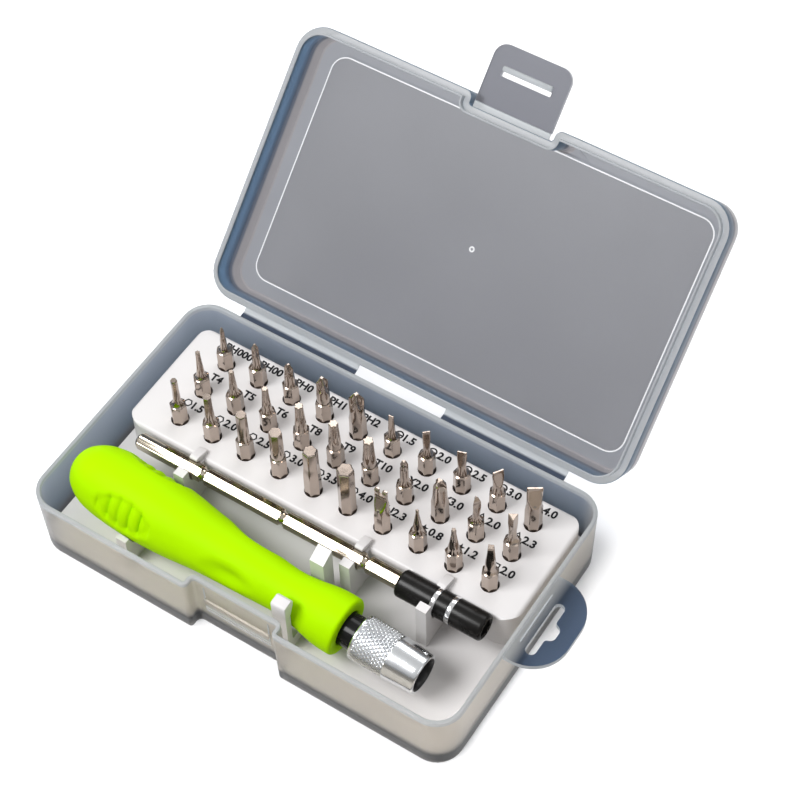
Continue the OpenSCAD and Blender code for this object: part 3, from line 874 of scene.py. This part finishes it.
def end_taper(t, share):
    """1 along the blade, falling to a share at its very end."""
    return 1.0 if t < TAPER_FROM else mix(1.0, share, (t - TAPER_FROM) / (1 - TAPER_FROM))


# The blades' sections: each gives a radius function at a share t of the blade's length.

def cross_blade(kind, size, root_r, tip_r, t):
    flute = max(0.0, min((t - 0.30) / 0.45, 1.0)) ** 0.7
    outer = mix(root_r, tip_r, min(t * 2, 1.0)) * end_taper(t, 0.30)
    return lobes(4, outer, outer * mix(1.0, 0.36, flute), mix(0.5, 1.5, flute))


def slot_blade(kind, size, root_r, tip_r, t):
    half_w = mix(root_r, tip_r, min(t * 1.6, 1.0))
    return flat_blade(half_w, mix(root_r, 0.06 + size * 0.04, min(t / 0.85, 1.0) ** 0.8))


def star_blade(kind, size, root_r, tip_r, t):
    outer = mix(root_r, tip_r, min(t * 1.3, 1.0))
    return lobes(6 if kind == "star" else 5, outer, outer * mix(1.0, 0.74, min(t * 2.2, 1.0)))


def wing_blade(kind, size, root_r, tip_r, t):
    outer = mix(root_r, tip_r, t) * end_taper(t, 0.5)
    return wings(3, outer, outer * 0.28, size * 0.11) if t > 0.62 else lambda angle: outer


def fork_blade(kind, size, root_r, tip_r, t):
    half_t = mix(root_r, FORK_HALF_T, min(t / 0.7, 1.0) ** 0.7)
    return flat_blade(mix(root_r, tip_r, t), half_t)


def prism_blade(kind, size, root_r, tip_r, t):
    sides = {"hex": 6, "triangle": 3, "square": 4}[kind]
    if straight(kind, size):
        return regular(sides, mix(DRIVE_FLATS / 2, tip_r, min(t * 3, 1.0)))
    apothem = tip_r if kind != "triangle" else tip_r * 0.62
    if (kind, size) == POINTED_BIT and t > 0.75:
        apothem *= mix(1.0, 0.3, (t - 0.75) / 0.25)
    widening = 1.7 if kind == "square" else 1.04
    shape = regular(sides, apothem * mix(widening, 1.0, t), 0.3)
    return blend_radius(lambda angle: root_r, shape, min(t * 2.0, 1.0))


BLADES = {
    "cross": cross_blade, "slot": slot_blade, "star": star_blade, "five": star_blade,
    "wing": wing_blade, "fork": fork_blade, "hex": prism_blade, "triangle": prism_blade,
    "square": prism_blade,
}


def bevel_end(rows, depth):
    """Breaks the edge of the tip."""
    z, last = rows[-1]
    rows[-1] = (z - depth, last)
    for share in (0.5, 1.0):
        drop = depth * 0.8 * share ** 2
        rows.append((z - depth * (1 - share), lambda a, d=drop: max(last(a) - d, last(a) * 0.6)))
    return rows


def make_bit(node, row, column, kind, size, rise, turn):
    x = FIRST_X + column * HOLE_PITCH
    y = LAST_ROW_Y - row * ROW_PITCH
    place = Matrix.Translation((x, y, BLOCK_Z)) @ Matrix.Rotation(turn, 4, "Z")
    shape = Shape()
    rows = bit_rows(kind, size, rise - PRONG_H if kind == "fork" else rise)
    if kind not in ("cross", "fork"):
        is_plain_hex = kind == "hex" and straight(kind, size)
        rows = bevel_end(rows, STRAIGHT_HEX_EDGE if is_plain_hex else TIP_EDGE)
    shape.loft([ring_round(radius, z, AROUND) for z, radius in rows], place)
    if kind == "fork":
        prong_z = rows[-1][0] - 0.2
        for low, high in ((-FORK_HALF_W, -0.5), (0.5, FORK_HALF_W)):
            shape.box((low, -0.4, prong_z), (high, 0.4, rise), place, 0.08)
    piece = shape.build(node + "_steel", (BIT_METAL,), 28)
    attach(piece, node)
    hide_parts(node)


# Node, row from the back, column from the left, kind, size and height of the tip over the block
BITS = [
    ("bit_cross_000", 0, 0, "cross", 1.5, 15.7), ("bit_cross_00", 0, 1, "cross", 1.9, 16.0),
    ("bit_cross_0", 0, 2, "cross", 2.4, 14.8), ("bit_cross_1", 0, 3, "cross", 3.2, 16.5),
    ("bit_cross_2", 0, 4, "cross", 4.0, 17.1), ("bit_slot_1_5", 0, 5, "slot", 1.5, 15.3),
    ("bit_slot_2_0", 0, 6, "slot", 2.0, 16.3), ("bit_slot_2_5", 0, 7, "slot", 2.5, 15.5),
    ("bit_slot_3_0", 0, 8, "slot", 3.0, 15.3), ("bit_slot_4_0", 0, 9, "slot", 4.0, 16.2),
    ("bit_star_4", 1, 0, "star", 1.35, 16.8), ("bit_star_5", 1, 1, "star", 1.45, 16.0),
    ("bit_star_6", 1, 2, "star", 1.75, 16.2), ("bit_star_8", 1, 3, "star", 2.3, 16.5),
    ("bit_star_9", 1, 4, "star", 2.5, 16.6), ("bit_star_10", 1, 5, "star", 2.75, 17.1),
    ("bit_tri_wing_2_0", 1, 6, "wing", 2.0, 16.2), ("bit_tri_wing_3_0", 1, 7, "wing", 3.0, 16.1),
    ("bit_triangle_2_0", 1, 8, "triangle", 2.0, 17.2),
    ("bit_triangle_2_3", 1, 9, "triangle", 2.3, 17.2),
    ("bit_hex_1_5", 2, 0, "hex", 1.5, 16.6), ("bit_hex_2_0", 2, 1, "hex", 2.0, 17.1),
    ("bit_hex_2_5", 2, 2, "hex", 2.5, 17.2), ("bit_hex_3_0", 2, 3, "hex", 3.0, 17.2),
    ("bit_hex_3_5", 2, 4, "hex", 3.5, 17.2), ("bit_hex_4_0", 2, 5, "hex", 4.0, 17.2),
    ("bit_fork_2_3", 2, 6, "fork", 2.3, 16.5), ("bit_penta_0_8", 2, 7, "five", 0.9, 16.1),
    ("bit_penta_1_2", 2, 8, "five", 1.3, 16.1), ("bit_square_2_0", 2, 9, "square", 2.0, 17.1),
]

for index, entry in enumerate(BITS):
    make_bit(*entry, turn=math.radians((index * 37) % 60))


# ---------------------------------------------------------------- size marks

LETTER_H = 2.25
# A small letter stands for the sign of its kind: slot, triangle, hex, five-point star, square
MARKS = [
    ["PH000", "PH00", "PH0", "PH1", "PH2", "s1.5", "s2.0", "s2.5", "s3.0", "s4.0"],
    ["T4", "T5", "T6", "T8", "T9", "T10", "Y2.0", "Y3.0", "t2.0", "t2.3"],
    ["h1.5", "h2.0", "h2.5", "h3.0", "h3.5", "h4.0", "U2.3", "p0.8", "p1.2", "q2.0"],
]


LETTER_BOLD = 0.115


def text_shape(body, height):
    """(points, faces, width) of bold flat letters, in millimetres."""
    curve = bpy.data.curves.new("mark_text", "FONT")
    curve.body = body
    curve.size = height * 1.39
    curve.offset = LETTER_BOLD
    curve.resolution_u = 3
    holder = bpy.data.objects.new("mark_text", curve)
    bpy.context.scene.collection.objects.link(holder)
    mesh = bpy.data.meshes.new_from_object(holder)
    points = [v.co.copy() for v in mesh.vertices]
    faces = [list(p.vertices) for p in mesh.polygons]
    bpy.data.objects.remove(holder)
    bpy.data.curves.remove(curve)
    bpy.data.meshes.remove(mesh)
    left = min(p.x for p in points)
    for p in points:
        p.x -= left
    return points, faces, max(p.x for p in points)


def ring_of(points, line):
    """A closed line of even width round a polygon centred on the origin."""
    n = len(points)
    inner = [Vector(p) * (1 - line / Vector(p).length) for p in points]
    return [Vector(p) for p in points] + inner, [[i, (i + 1) % n, n + (i + 1) % n, n + i]
                                                for i in range(n)]


def polygon(sides, radius, turn=90.0):
    return [(radius * math.cos(math.radians(turn + 360 * k / sides)),
             radius * math.sin(math.radians(turn + 360 * k / sides))) for k in range(sides)]


def symbol(kind):
    """(points, faces, width) of the sign before a number."""
    r = LETTER_H * 0.56
    line = 0.42
    if kind == "s":
        points, faces = ring_of(polygon(28, r), line)
        start = len(points)
        half = line / 2
        points += [Vector((-r + line, -half)), Vector((r - line, -half)), Vector((r - line, half)),
                   Vector((-r + line, half))]
        faces.append([start, start + 1, start + 2, start + 3])
    elif kind == "h":
        points, faces = ring_of(polygon(6, r, 0.0), line)
    elif kind == "t":
        points, faces = ring_of(polygon(3, r * 1.15), line * 1.6)
    elif kind == "q":
        points, faces = ring_of(polygon(4, r * 1.15, 45.0), line * 1.2)
    else:
        outer = polygon(5, r)
        inner = polygon(5, r * 0.42, 90.0 + 36.0)
        points = [Vector(p) for pair in zip(outer, inner) for p in pair]
        faces = [list(range(10))]
    points = [Vector((p.x + r, p.y + LETTER_H / 2, 0.0)) for p in points]
    return points, faces, 2 * r + 0.35


def make_marks():
    shape = Shape()
    for row, names in enumerate(MARKS):
        for column, name in enumerate(names):
            parts = []
            width = 0.0
            text = name
            if name[0].islower():
                points, faces, w = symbol(name[0])
                parts.append((points, faces, 0.0))
                width = w
                text = name[1:]
            points, faces, w = text_shape(text, LETTER_H)
            parts.append((points, faces, width))
            width += w
            x = FIRST_X + column * HOLE_PITCH + 0.5 - width / 2
            y = LAST_ROW_Y - row * ROW_PITCH + 5.2 - LETTER_H / 2
            for points, faces, start in parts:
                place = Matrix.Translation((x + start, y, BLOCK_Z + 0.03))
                shape.add([Vector((p.x, p.y, 0.0)) for p in points], faces, place)
    piece = shape.build("size_marks", (INK,), 30)
    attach(piece, "case")


make_marks()


# ---------------------------------------------------------------- handle

GRIP_TIP = Vector((-59.2, -20.6, 17.3))
HANDLE = (Matrix.Translation(GRIP_TIP)
          @ Matrix.Rotation(math.radians(-1.5), 4, "Z")
          @ Matrix.Rotation(math.radians(92.4), 4, "Y"))
GRIP_L = 83.8
GRIP_END_R = 7.78
GRIP_EDGE_R = 0.9
NECK_GAP = 3.8
NECK_R = 4.5
SLEEVE_L = 18.5
SLEEVE_BORE_R = 4.56
KNURL_L = 10.6
KNURL_PITCH = 1.55
KNURL_TEETH = 30
KNURL_DEPTH = 0.32
FINGER_AT = 21.3
FINGER_ANGLES = [math.radians(a) for a in (117, -117)]
FINGER_DEPTH = 1.6
FINGER_RIB_PITCH = 3.2
THUMB_AT = 52.0
THUMB_ANGLES = [math.radians(a) for a in (-112, 112)]
THUMB_DEPTH = 1.5
DIMPLE_HALF_ANGLE = 0.58
# Distance from the rear tip and radius at each station along the grip
GRIP_STATIONS = [
    (0.0, 0.0), (0.25, 2.0), (1.0, 4.0), (2.6, 5.95), (6.1, 7.98), (10.0, 8.95), (15.0, 9.45),
    (20.0, 9.6), (24.1, 9.5), (29.0, 9.25), (34.2, 8.75), (41.1, 7.85), (47.2, 7.3), (53.5, 6.88),
    (59.7, 6.42), (65.0, 6.06), (68.0, 6.1), (72.1, 6.6), (77.4, 7.56), (80.5, 7.8),
    (GRIP_L - GRIP_EDGE_R, GRIP_END_R),
]


def spline(stations, s):
    """A smooth curve through the stations, with slopes from their neighbours."""
    last = len(stations) - 1
    i = 0
    while i < last - 1 and stations[i + 1][0] < s:
        i += 1
    (a, ra), (b, rb) = stations[i], stations[i + 1]

    def slope(k):
        low = stations[max(k - 1, 0)]
        high = stations[min(k + 1, last)]
        return (high[1] - low[1]) / (high[0] - low[0])

    t = (s - a) / (b - a)
    h = b - a
    return ((2 * t ** 3 - 3 * t ** 2 + 1) * ra + (t ** 3 - 2 * t ** 2 + t) * h * slope(i)
            + (-2 * t ** 3 + 3 * t ** 2) * rb + (t ** 3 - t ** 2) * h * slope(i + 1))


def dimple(s, angle, centre_s, centre_a, half_s):
    """1 at the dimple's middle, falling to 0 at its oval edge."""
    da = (angle - centre_a + math.pi) % (2 * math.pi) - math.pi
    d = math.hypot((s - centre_s) / half_s, da / DIMPLE_HALF_ANGLE)
    return 0.0 if d >= 1 else 0.5 + 0.5 * math.cos(math.pi * d)


def grip_radius(s, angle):
    """Radius at a distance from the rear tip: ribbed finger rests and plain thumb rests."""
    r = spline(GRIP_STATIONS, s)
    for centre in FINGER_ANGLES:
        edge = min(dimple(s, angle, FINGER_AT, centre, 9.8) * 6.0, 1.0)
        rib = abs(math.cos(math.pi * (s - FINGER_AT) / FINGER_RIB_PITCH)) ** 0.5
        r -= edge * (FINGER_DEPTH - rib)
    for centre in THUMB_ANGLES:
        r -= THUMB_DEPTH * dimple(s, angle, THUMB_AT, centre, 9.0)
    return r


def make_grip():
    around = 144
    edge_from = GRIP_L - GRIP_EDGE_R
    stations = [0.25 * (k / 6) ** 2 + 0.02 for k in range(1, 7)]
    stations += [mix(0.3, edge_from, k / 330) for k in range(331)]
    rings = [ring_round(lambda a: grip_radius(s, a), s, around) for s in stations]
    edge = arc_path((GRIP_EDGE_R, edge_from), GRIP_EDGE_R, 180, 90, 5)[1:]
    end = [(GRIP_END_R - inset, s) for inset, s in edge]
    end += [(4.9, GRIP_L), (4.7, GRIP_L - 0.2), (4.55, GRIP_L - 0.6)]
    rings += [ring_round(r, s, around) for r, s in end]
    shape = Shape()
    shape.loft(rings, HANDLE)
    piece = shape.build("grip_rubber", (GRIP,), 60)
    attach(piece, "handle")
    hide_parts("handle_grip")


def turned(path, matrix, radius):
    """A turned solid: path is (radius, length) from one end to the other, and the function
    radius(r, s, angle) may cut it to another section."""
    shape = Shape()
    shape.loft([ring_round(lambda a: radius(r, s, a), s, AROUND) for r, s in path], matrix)
    return shape


SOCKET_HEX = regular(6, 2.08)
SOCKET_HEX_R = 2.38


def make_neck():
    start = GRIP_L - 8
    end = GRIP_L + NECK_GAP + SLEEVE_L - 6.0
    path = [(NECK_R - 0.2, start), (NECK_R, start + 0.2), (NECK_R, end - 0.2), (NECK_R - 0.2, end),
            (3.3, end), (3.2, end - 0.1), (3.2, end - 2.8), (2.6, end - 3.0),
            (SOCKET_HEX_R, end - 3.2), (SOCKET_HEX_R, end - 11)]
    shape = turned(path, HANDLE, lambda r, s, a: min(r, SOCKET_HEX(a)) if r <= 2.6 else r)
    piece = shape.build("neck_core", (NECK_BLACK,), 35)
    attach(piece, "handle")
    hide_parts("handle_neck")


def knurl_groove(s, a):
    """0 on a diamond of the knurl, rising to 1 at the bottom of the grooves round it."""
    local = (s - 0.7) / (KNURL_L - 1.2)
    if not 0 < local < 1:
        return 0.0
    fade = min(local * 20, (1 - local) * 20, 1.0)
    along_axis = s / KNURL_PITCH
    around_axis = a * KNURL_TEETH / (2 * math.pi)
    first = abs(2 * ((around_axis + along_axis) % 1.0) - 1)
    second = abs(2 * ((around_axis - along_axis) % 1.0) - 1)
    return fade * max(max(first, second) - 0.35, 0.0) / 0.65


def make_sleeve():
    """The tube, drawn round its section from the rear end; s runs from that end."""
    end = SLEEVE_L
    plain_from = KNURL_L + 0.1
    outer_from = 5.0
    path = [(SLEEVE_BORE_R, 0.02), (5.5, 0.0), (5.8, 0.15), (5.95, 0.4)]
    path += [(mix(5.95, 5.85, k / 130), 0.4 + (KNURL_L - 0.6) * k / 130) for k in range(131)]
    path += [(mix(5.83, 5.33, k / 8), mix(plain_from, end - 0.4, k / 8)) for k in range(9)]
    path += [(5.2, end - 0.15), (5.05, end), (4.55, end), (4.4, end - 0.15), (4.1, end - 0.9),
             (4.1, end - 5.4), (SLEEVE_BORE_R, end - 5.6)]

    def radius(r, s, a):
        return r - KNURL_DEPTH * knurl_groove(s, a) if r > outer_from else r

    around = KNURL_TEETH * 12
    rings = [ring_round(lambda a: radius(r, s, a), s, around) for r, s in path]
    bands = []
    for (r0, s0), (r1, s1) in zip(path, path[1:] + path[:1]):
        in_bore = max(r0, r1) < SLEEVE_BORE_R or r0 == r1 == SLEEVE_BORE_R
        bands.append(1 if in_bore else 0)
    shape = Shape()
    shape.loft(rings + rings[:1], HANDLE @ Matrix.Translation((0, 0, GRIP_L + NECK_GAP)),
               close_start=False, close_end=False, bands=bands)
    # Faces deep in the knurl's grooves get the darker metal, painted shade in the grooves
    for row, ((r0, s0), (r1, s1)) in enumerate(zip(path, path[1:])):
        for k in range(around):
            middle = 2 * math.pi * (k + 0.5) / around
            if min(r0, r1) > outer_from and knurl_groove((s0 + s1) / 2, middle) > 0.72:
                shape.parts[row * around + k] = 2
    piece = shape.build("sleeve_shell", (SLEEVE_METAL, BORE_BLACK, GROOVE_SHADE_METAL), 30)
    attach(piece, "handle")
    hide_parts("handle_sleeve")


make_grip()
make_neck()
make_sleeve()


# ---------------------------------------------------------------- extension rod

ROD = Matrix.Translation((-51.1, -5.7, 15.2)) @ Matrix.Rotation(math.radians(90), 4, "Y")
ROD_BAR_L = 79.9
NOTCH_FIRST = 21.0
NOTCH_PITCH = 24.45
SOCKET_L = 24.6
SOCKET_R = 3.65
RING_PLACES = (10.6, 15.2)


def make_rod():
    corner_r = 2.32
    path = [(1.55, 0.0), (1.9, 0.35), (corner_r, 0.8)]
    notch = ((corner_r, -0.9), (2.0, -0.7), (1.72, -0.45), (1.62, 0.0), (1.72, 0.45), (2.0, 0.7),
             (corner_r, 0.9))
    for k in range(3):
        path += [(r, NOTCH_FIRST + NOTCH_PITCH * k + s) for r, s in notch]
    path += [(corner_r, ROD_BAR_L + 12)]
    shape = turned(path, ROD, lambda r, s, a: min(r, SHANK(a)))
    piece = shape.build("rod_bar_steel", (ROD_METAL,), 25)
    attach(piece, "rod")
    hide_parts("rod_bar")


def make_rod_socket():
    z0 = ROD_BAR_L
    z1 = ROD_BAR_L + SOCKET_L
    edge_r = 0.9
    groove_r = SOCKET_R - 0.3
    path = [(2.5, z0 + 0.02)] + arc_path((SOCKET_R - edge_r, z0 + edge_r), edge_r, 270, 360, 6)
    for at in RING_PLACES:
        path += [(SOCKET_R, z0 + at - 0.72), (groove_r, z0 + at - 0.66),
                 (groove_r, z0 + at + 0.66), (SOCKET_R, z0 + at + 0.72)]
    path += arc_path((SOCKET_R - edge_r, z1 - edge_r), edge_r, 0, 90, 6)
    path += [(2.7, z1), (2.4, z1 - 0.35), (SOCKET_HEX_R, z1 - 0.6), (SOCKET_HEX_R, z1 - 9.5)]
    shape = turned(path, ROD, lambda r, s, a: min(r, SOCKET_HEX(a)) if r <= 2.4 else r)
    piece = shape.build("rod_socket_body", (SOCKET_BLACK,), 35)
    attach(piece, "rod")
    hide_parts("rod_socket")
    shape = Shape()
    inner = SOCKET_R - 0.28
    edge = SOCKET_R - 0.05
    for at in RING_PLACES:
        section = [(inner, -0.62), (edge, -0.62), (SOCKET_R, -0.5), (SOCKET_R, 0.5), (edge, 0.62),
                   (inner, 0.62), (inner, -0.62)]
        shape.loft([ring_round(r, z0 + at + s, AROUND) for r, s in section], ROD,
                   close_start=False, close_end=False)
    piece = shape.build("socket_rings", (RING_METAL,), 35)
    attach(piece, "rod")
    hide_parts("rod_rings")


make_rod()
make_rod_socket()


# ---------------------------------------------------------------- stage, lights and camera

def make_floor():
    look = new_look("studio_floor")
    look.set("Base Color", (0.93, 0.93, 0.94, 1))
    look.set("Roughness", 0.9)
    half = 3000
    corners = [(x * half, y * half, -0.05) for x, y in ((-1, -1), (1, -1), (1, 1), (-1, 1))]
    shape = Shape()
    shape.add(corners, [[0, 1, 2, 3]])
    floor = shape.build("floor", (look.owner,))


def area_light(name, place, size, power):
    """A rectangular lamp aimed at the middle of the case."""
    light = bpy.data.lights.new(name, "AREA")
    light.shape = "RECTANGLE"
    light.size, light.size_y = size
    light.energy = power
    lamp = bpy.data.objects.new(name, light)
    lamp.location = place
    lamp.rotation_euler = (-Vector(place)).to_track_quat("-Z", "Y").to_euler()
    bpy.context.scene.collection.objects.link(lamp)


def make_world(strength):
    """A soft tent, bright overhead and dimmer towards the horizon."""
    world = bpy.data.worlds.new("studio")
    bpy.context.scene.world = world
    look = Look(world)
    coords = look.nodes.new("ShaderNodeTexCoord")
    split = look.nodes.new("ShaderNodeSeparateXYZ")
    look.link(coords.outputs["Generated"], split.inputs["Vector"])
    tent = look.ramp(split.outputs["Z"], (0.30, 0.31, 0.33, 1), (1.0, 1.0, 1.0, 1), 0.0, 0.75)
    look.link(tent, look.shader.inputs["Color"])
    look.set("Strength", strength)


def make_camera():
    """The photograph's viewpoint, solved from the grid of holes."""
    azimuth = math.radians(34.472)
    elevation = math.radians(53.936)
    roll = math.radians(-2.0)
    data = bpy.data.cameras.new("camera")
    data.sensor_width = 36.0
    data.lens = 95.93
    camera = bpy.data.objects.new("camera", data)
    camera.matrix_world = (Matrix.Translation((0.1831, -0.2279, 0.4620))
                           @ Matrix.Rotation(azimuth, 4, "Z")
                           @ Matrix.Rotation(math.pi / 2 - elevation, 4, "X")
                           @ Matrix.Rotation(roll, 4, "Z"))
    bpy.context.scene.collection.objects.link(camera)
    bpy.context.scene.camera = camera


make_floor()
make_world(0.65)
area_light("key", (-0.30, -0.42, 0.75), (0.42, 0.34), 7.8)
area_light("fill", (0.60, -0.10, 0.45), (0.5, 0.4), 0.4)
area_light("back", (-0.05, 0.55, 0.65), (0.7, 0.3), 2.5)
bpy.context.scene.view_settings.view_transform = "Standard"
make_camera()
